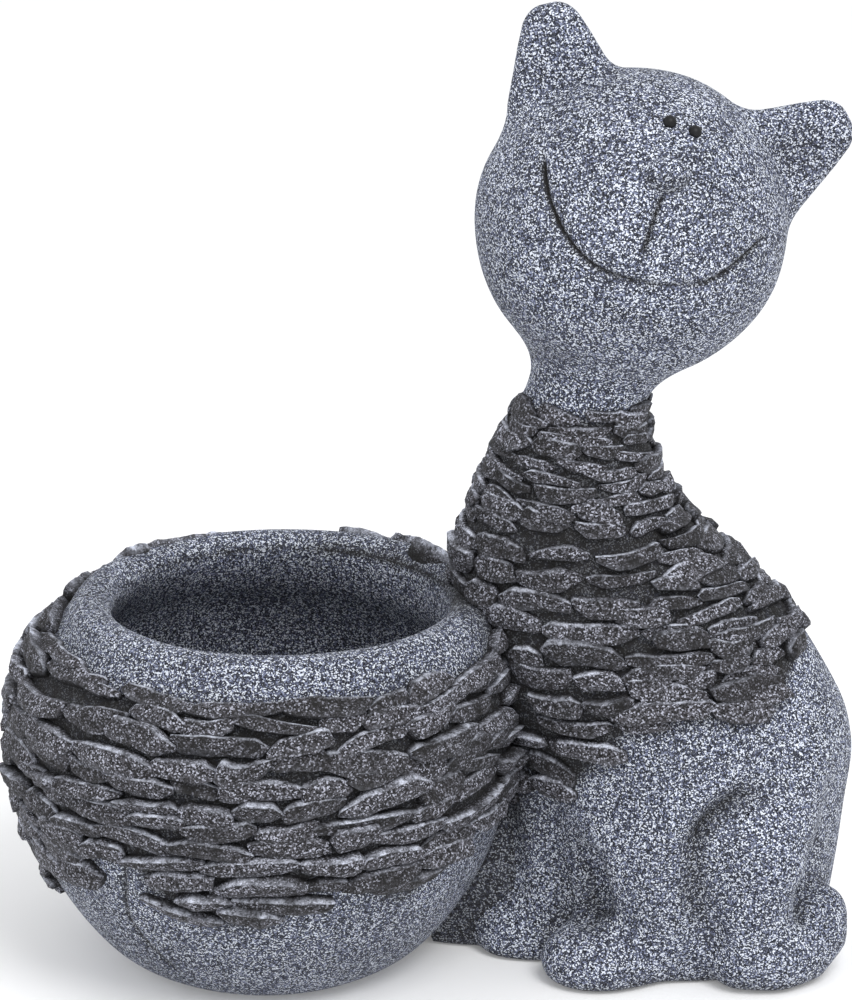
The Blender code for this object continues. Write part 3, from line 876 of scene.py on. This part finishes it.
def gridFaces(rows, columns, closed=True):
    # quads over a grid of rows by columns whose rows close up, and whose columns do too when asked
    i, j = np.meshgrid(np.arange(rows if closed else rows - 1), np.arange(columns), indexing="ij")
    nextI, nextJ = (i + 1) % rows, (j + 1) % columns
    corners = (i * columns + j, nextI * columns + j, nextI * columns + nextJ, i * columns + nextJ)
    return np.stack(corners, -1).reshape(-1, 4)


def spun(profile, around):
    # a closed outline of (radius, height) turned round the axis
    turns = np.arange(around) * math.tau / around
    ring = np.stack((np.sin(turns), -np.cos(turns)), 1)
    level = profile[None, :, :1] * ring[:, None]
    rising = np.broadcast_to(profile[:, 1:], (around, len(profile), 1))
    return np.concatenate((level, rising), 2).reshape(-1, 3), gridFaces(around, len(profile))


profile = bowlProfile()
points, faces = spun(profile, bowl["around"])
radial = np.hypot(points[:, 0], points[:, 1])
row = np.tile(np.arange(len(profile)), bowl["around"])
inner = (row > bowl["outsideRows"] + 12) & (points[:, 2] < 150)
outward = points * np.array((1, 1, 0)) / (radial[:, None] + 1e-9)
wobble = 0.35 * np.sin(points[:, 0] / 13 + 1) * np.sin(points[:, 1] / 11 + points[:, 2] / 15)
points = points + outward * (wobble * (radial > 20))[:, None]
points[:, 0] += bowlMiddle(points[:, 2])
# painted shade on the bowl beside the cat
besideShade = np.clip(1 - catField(points + outward * 4) / bowl["besideReach"], 0, 1) * bowl["besideMost"]
degrees, heights = np.array(bowl["scribe"], float).T
radii = bowlRadius(heights)
line = np.stack((radii * np.sin(np.radians(degrees)), -radii * np.cos(np.radians(degrees)), heights), 1)
gap, share = gapToCurve(points, curveThrough(line, 6))
scribed = bell(gap, bowl["scribeWidth"]) * ~inner
points = points - outward * (bowl["scribeDepth"] * scribed)[:, None]
# painted shade inside the bowl, darker towards the bottom
insideShade = bowl["insideMost"] * np.clip((bowl["insideTop"] - points[:, 2]) / bowl["insideFade"], 0, 1)
scribeAndShade = np.maximum(besideShade, scribed * bowl["scribeWash"])
outsideWashAndShade = np.maximum(slateWash(onBowl(points)), scribeAndShade)
washAndShade = np.where(inner, insideShade, outsideWashAndShade)
addPiece("bowl_casting", points, faces, bowlGraniteMade, ["planter_bowl"], {"washAndShade": washAndShade})
print("bowl", len(faces))


# ---- Slate chips

chips = {
    # how far a chip stands off the wall, points along it, ring left bare before it is shared out
    "proud": (2.8, 5.8), "stations": 25, "spare": 12,
    # drawn by chance: height, lean of the face, turn, shade, strength of the edge's dry-brush and painted
    # highlight, bow and skew
    "tall": (0.68, 1.25), "lean": (-0.38, 0.30), "yaw": (-0.30, 0.30), "shade": (0, 1),
    "edgeStrength": (0.35, 1.3), "bow": (-0.28, 0.28), "skew": (-1.6, 1.6),
    # waves along a chip, and their share in its edges, its face and its stand-off
    "octaves": (3.1, 6.7, 12.3, 23), "edgeWave": 0.13, "faceWave": 0.16, "crownWave": 0.10,
    # how deep a chip's back is sunk, and how far out it may be lifted on to the skin
    "sunk": -2.5, "liftMost": 9,
    # length of a chip, height against the course's, share of its length laid, spread of level and tilt
    "onBowl": {"length": (17, 40), "height": 1.12, "overrun": (1.0, 1.14), "stray": 1.5, "tilt": 4.6},
    "onCat": {"length": (16, 34), "height": 0.98, "overrun": (0.90, 1.03), "stray": 1.2, "tilt": 4.0},
    "bowlPitch": 8, "bowlFirst": 50, "bowlCourses": 11, "bowlProud": 1.15, "topPitch": 5.5,
    "rimZ": 150, "rimPitch": 0.8, "rimProud": 1.1,
    "catFirst": 66, "catPitch": 10, "catCourses": 17,
}


def bowlSurface(distance, z):
    turn = distance / bowl["belly"]
    radius = bowlRadius(z)
    return np.stack((bowlMiddle(z) + radius * np.sin(turn), -radius * np.cos(turn), z), -1)


def torsoSurface(turn, z):
    low, high, deep = edgesAt(z, torsoStack)
    x = (low + high) / 2 + (high - low) / 2 * np.sin(turn)
    return np.stack((x, torso["middleY"] - deep * np.cos(turn), z), -1)


def drawn(word, count):
    return random.uniform(*chips[word], count)


def drawnLengths(around, style):
    # lengths drawn by chance until the ring is nearly full, then fitted to it
    lengths = []
    while sum(lengths) < around - chips["spare"]:
        lengths.append(random.uniform(*style["length"]))
    return np.array(lengths) * around / sum(lengths)


def outline(u, count):
    # a straight-sided edge through four corners, with the ends lower than the middle
    ends = random.uniform(0.08, 0.7, (count, 2))
    left = random.uniform(-0.92, -0.3, count)
    right = random.uniform(0.3, 0.92, count)
    rise = random.uniform(0.7, 1.25, (count, 2))
    corners = zip(left, right, ends, rise)
    return np.array([np.interp(u, (-1, a, b, 1), (e[0], h[0], h[1], e[1])) for a, b, e, h in corners])


def wavesAlong(u, count):
    # sums of sines with phases drawn by chance, weaker as they get shorter
    waves = np.zeros((count, len(u), 3))
    for octave in chips["octaves"]:
        phase = random.uniform(0, math.tau, (count, 1, 3))
        strength = random.uniform(0.4, 1, (count, 1, 3))
        waves += np.sin(u[None, :, None] * octave + phase) * strength / octave ** 0.6
    return waves


def chipSection(heights, taper, waves, crown, lean):
    # round the chip: height across it, distance off the wall, edge paint with painted highlight on the upward
    # ledges, and how clear it is of the painted shade at the wall
    top = heights / 2 * taper[..., 0] * (1 + chips["edgeWave"] * waves[..., 0])
    bottom = -heights / 2 * taper[..., 1] * (1 + chips["edgeWave"] * waves[..., 1])
    low = crown * (1 - lean)
    high = crown * (1 + lean)
    middle = (low + high) / 2 * (1 + chips["faceWave"] * waves[..., 1])
    sunk = np.full_like(low, chips["sunk"])
    section = (
        (bottom * 0.9, sunk, 0.0, 0.0),
        (bottom * 1.0, low * 0.25, 0.0, 0.15),
        (bottom * 0.86, low * 0.8, 0.22, 0.6),
        ((top + bottom) / 2 - top * 0.15, middle, 0.0, 1.0),
        (top * 0.62, high, 0.0, 1.0),
        (top * 0.78, high * 1.05, 1.0, 1.0),
        (top * 0.90, high * 0.80, 0.8, 1.0),
        (top * 1.02, high * 0.30, 0.05, 0.3),
        (top * 0.9, sunk, 0.0, 0.0),
    )
    across, off, edge, unshaded = zip(*section)
    return np.stack(across, -1), np.stack(off, -1), np.array(edge), np.array(unshaded)


def plateFaces(stations, ring):
    # quads along the plate, and four across each end, the last with two corners in one
    cap = np.array(((0, 1, 7, 8), (1, 2, 6, 7), (2, 3, 5, 6), (3, 4, 5, 5)))
    farCap = cap[:, ::-1] + (stations - 1) * ring
    return np.concatenate((gridFaces(stations, ring, closed=False), cap, farCap))


def offWall(surface, unit, distance, height, off):
    # points on a wall moved out along its normal, on the cat as far as the blended skin
    base = surface(distance / unit, height)
    normal = np.cross(*(
        surface((distance + a) / unit, height + b) - surface((distance - a) / unit, height - b)
        for a, b in ((0.5, 0), (0, 0.5))))
    normal /= lengthOf(normal)[..., None]
    lift = np.clip(-catField(base), 0, chips["liftMost"]) * (surface is torsoSurface)
    return base + normal * (off + lift)[..., None]


def layChips(surface, around, z, unit, pitch, proudness, allowed, style, slant=0.0):
    # one course of chips: lengths drawn by chance along the ring, each chip a bent, tapering plate
    lengths = drawnLengths(around, style)
    count = len(lengths)
    middles = np.cumsum(lengths) - lengths / 2 + random.uniform(0, around)
    heights = (pitch * style["height"] * drawn("tall", count))[:, None]
    levels = z + random.normal(0, style["stray"], count)
    tilts = np.radians(random.normal(slant, style["tilt"], count))
    proud, lean, yaw, shade, edgeStrength, bow = (
        drawn(word, count)[:, None] for word in ("proud", "lean", "yaw", "shade", "edgeStrength", "bow"))
    overrun = random.uniform(*style["overrun"], count)
    u = np.linspace(-1, 1, chips["stations"])
    taper = np.stack([outline(u, count) for _ in range(2)], -1)
    waves = wavesAlong(u, count)
    thick = np.minimum(taper.mean(-1), 1)
    crown = proud * proudness * (0.5 + 0.5 * thick) * (1 + yaw * u + chips["crownWave"] * waves[..., 2])
    across, off, edge, unshaded = chipSection(heights, taper, waves, crown, lean)
    reach = (lengths * overrun / 2)[:, None] * u
    skew = random.uniform(*chips["skew"], (count, 1, 1)) * across / 5
    distance = middles[:, None, None] + reach[..., None] + skew
    rise = np.tan(tilts)[:, None, None] * reach[..., None] + across
    rise = rise + (bow * (u ** 2 - 0.4) * heights)[..., None]
    step = surface(middles / unit, levels + 0.5) - surface(middles / unit, levels - 0.5)
    height = levels[:, None, None] + rise / lengthOf(step)[:, None, None]
    good = allowed(surface(middles / unit, levels))
    solid = offWall(surface, unit, distance, height, off)[good]
    stations, ring = solid.shape[1:3]
    first = np.arange(len(solid)) * stations * ring
    faces = (plateFaces(stations, ring)[None] + first[:, None, None]).reshape(-1, 4)
    ragged = np.clip(edgeStrength * (0.7 + 0.8 * waves[..., 1]), 0, 1)
    # edge holds the dry-brush and painted highlight, depth how clear a point is of the painted shade at the
    # wall
    values = {"edge": (edge * ragged[..., None])[good].reshape(-1),
              "depth": np.broadcast_to(unshaded, solid.shape[:3]).reshape(-1),
              "shade": np.repeat(shade[good], stations * ring)}
    return solid.reshape(-1, 3), faces, values


def triangled(faces):
    return sound(np.concatenate((faces[:, (0, 1, 2)], faces[:, (0, 2, 3)])))


def addCourse(name, courses, nodes):
    # the chips of several rings as one piece
    starts = np.cumsum([0] + [len(solid) for solid, _, _ in courses])
    points = np.concatenate([solid for solid, _, _ in courses])
    faces = np.concatenate([quads + start for (_, quads, _), start in zip(courses, starts)])
    values = {word: np.concatenate([numbers[word] for _, _, numbers in courses])
              for word in ("edge", "depth", "shade")}
    addPiece(name + "_chips", points, triangled(faces), slateMade, nodes, values, sharp=40)


def allowedOnBowl(centres):
    low, high = onBowl(centres)
    return (low > 0) & (high > 0) & (catField(centres) > -1)


def allowedOnCat(centres):
    low, high = onCat(centres)
    legs = castingFields(centres)
    buried = np.minimum(legs["hind_leg_near"], legs["hind_leg_far"]) < -9
    return (low > 0) & (high > 0) & (bowlField(centres) > 1) & ~buried


def allowedAtRim(centres):
    # thick chips high up behind the mouth, on both sides of the cat
    degrees = turnOnBowl(centres)
    right = (degrees > 126) & (degrees < 166)
    left = (degrees < -118) & (degrees > -160)
    return (right | left) & (catField(centres) > -1)


def allowedBetween(centres):
    # extra chips at the neck, and where the back slopes away and the courses are far apart
    x, z = centres[..., 0], centres[..., 2]
    slope = edgesAt(z + 4, torsoStack)[1] - edgesAt(z - 4, torsoStack)[1]
    return allowedOnCat(centres) & ((slope < -4) & (x > 150) | (z > 188))


around = math.tau * bowl["belly"]
pitch = chips["bowlPitch"]
for i in range(chips["bowlCourses"]):
    z = chips["bowlFirst"] + pitch * (i + 0.5)
    last = i == chips["bowlCourses"] - 1
    heights = [z]
    if i == 0:
        heights += [z - step * pitch for step in (1, 2, 3)]
    if last:
        heights += [z + step * chips["topPitch"] for step in (1, 2, 3)]
    laid = [layChips(bowlSurface, around, level, 1, pitch, chips["bowlProud"], allowedOnBowl, chips["onBowl"])
            for level in heights]
    if last:
        laid.append(layChips(bowlSurface, around, chips["rimZ"], 1, pitch * chips["rimPitch"],
                             chips["rimProud"], allowedAtRim, chips["onBowl"]))
    name = "bowl_slates_%02d" % (i + 1)
    addCourse(name, laid, [name])

# a course without a body of its own goes with the next one up
laid = []
for i in range(chips["catCourses"]):
    z = chips["catFirst"] + chips["catPitch"] * (i + 0.5)
    low, high, b = edgesAt(z, torsoStack)
    a = (high - low) / 2
    # perimeter of an ellipse by Ramanujan's formula
    ring = math.pi * (3 * (a + b) - math.sqrt((3 * a + b) * (a + 3 * b)))
    proudness = np.interp(z, (150, 220), (0.95, 0.65))
    # thinner, slanting chips in twice as many rows near the neck
    pitch = chips["catPitch"] * np.interp(z, (180, 200), (1, 0.66))
    slant = np.interp(z, (180, 215), (0, -6))
    for level, allowed in ((z, allowedOnCat), (z + chips["catPitch"] / 2, allowedBetween)):
        laid.append(layChips(torsoSurface, ring, level, ring / math.tau, pitch, proudness,
                             allowed, chips["onCat"], slant))
    prefix = "torso_slates_%02d" % (i + 1)
    nodes = [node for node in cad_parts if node.startswith(prefix)]
    if nodes:
        addCourse(prefix, laid, nodes)
        laid = []
print("slates laid")


# ---- Eyes

def ball(centre, radius, around=48, rows=25):
    # rings of points from the top down, with a point at each pole
    across = np.linspace(0, math.pi, rows)[1:-1]
    turns = np.linspace(0, math.tau, around, endpoint=False)
    shape = np.stack((np.outer(np.sin(across), np.cos(turns)), np.outer(np.sin(across), np.sin(turns)),
                      np.outer(np.cos(across), np.ones(around))), -1)
    points = np.concatenate((shape.reshape(-1, 3), ((0, 0, 1), (0, 0, -1)))) * radius + centre
    here = np.arange(around)
    following = (here + 1) % around
    pole = np.full(around, len(points) - 2)
    lowest = (len(shape) - 1) * around
    top = np.stack((pole, here, following), 1)
    base = np.stack((pole + 1, lowest + following, lowest + here), 1)
    return points, np.concatenate((triangled(gridFaces(len(shape), around, closed=False)), top, base))


for name in ("eye_left", "eye_right"):
    low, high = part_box(name)
    centre = np.array((low + high) / 2) * 1000 - np.array((axisX, axisY, 0))
    points, faces = ball(centre, 500 * (high.z - low.z))
    addPiece(name + "_bead", points, faces, beadMade, [name])
print("eyes made")


# ---- Floor, light and camera

studio = {
    "paper": {"Base Color": (0.84, 0.84, 0.84, 1), "Emission Color": (1, 1, 1, 1),
              "Emission Strength": 0.14, "Roughness": 0.9, "Specular IOR Level": 0.0},
    # the sky's colour and strength
    "sky": ((0.97, 0.98, 1.0, 1), 1.0), "aim": (0, 0, 0.18),
    # place, size in metres and power in watts
    "lights": {"key_light": ((0.55, -1.15, 1.75), 1.0, 22), "fill_light": ((-1.6, -1.0, 0.9), 1.6, 3)},
}
view = {
    "pitch": math.radians(18.1), "distance": 1.6, "aimX": -0.00151, "aimZ": 0.19498,
    "camera": {"sensor_fit": "VERTICAL", "sensor_height": 36, "lens": 142.574,
               "clip_start": 0.05, "clip_end": 60},
}


def placed(name, data):
    made = bpy.data.objects.new(name, data)
    bpy.context.scene.collection.objects.link(made)
    return made


def addFloor():
    data = bpy.data.meshes.new("floor")
    data.from_pydata([(-6, -6, 0), (6, -6, 0), (6, 12, 0), (-6, 12, 0)], [], [(0, 1, 2, 3)])
    made, tree = nodeMaterial("floor_paper")
    for word, amount in studio["paper"].items():
        tree.nodes["Principled BSDF"].inputs[word].default_value = amount
    data.materials.append(made)
    placed("floor", data)


def addLight(name, place, size, power):
    data = bpy.data.lights.new(name, "AREA")
    data.shape = "DISK"
    data.size = size
    data.energy = power
    lamp = placed(name, data)
    lamp.location = place
    toward = Vector(studio["aim"]) - Vector(place)
    lamp.rotation_euler = toward.to_track_quat("-Z", "Y").to_euler()


addFloor()
for name, (place, size, power) in studio["lights"].items():
    addLight(name, place, size, power)

world = bpy.data.worlds.new("studio")
world.use_nodes = True
for socket, value in zip(world.node_tree.nodes["Background"].inputs, studio["sky"]):
    socket.default_value = value
bpy.context.scene.world = world
bpy.context.scene.view_settings.view_transform = "Standard"

cameraData = bpy.data.cameras.new("camera")
for word, value in view["camera"].items():
    setattr(cameraData, word, value)
camera = placed("camera", cameraData)
camera.location = (view["aimX"], -view["distance"] * math.cos(view["pitch"]),
                   view["aimZ"] + view["distance"] * math.sin(view["pitch"]))
camera.rotation_euler = (math.pi / 2 - view["pitch"], 0, 0)
bpy.context.scene.camera = camera
print("studio made")
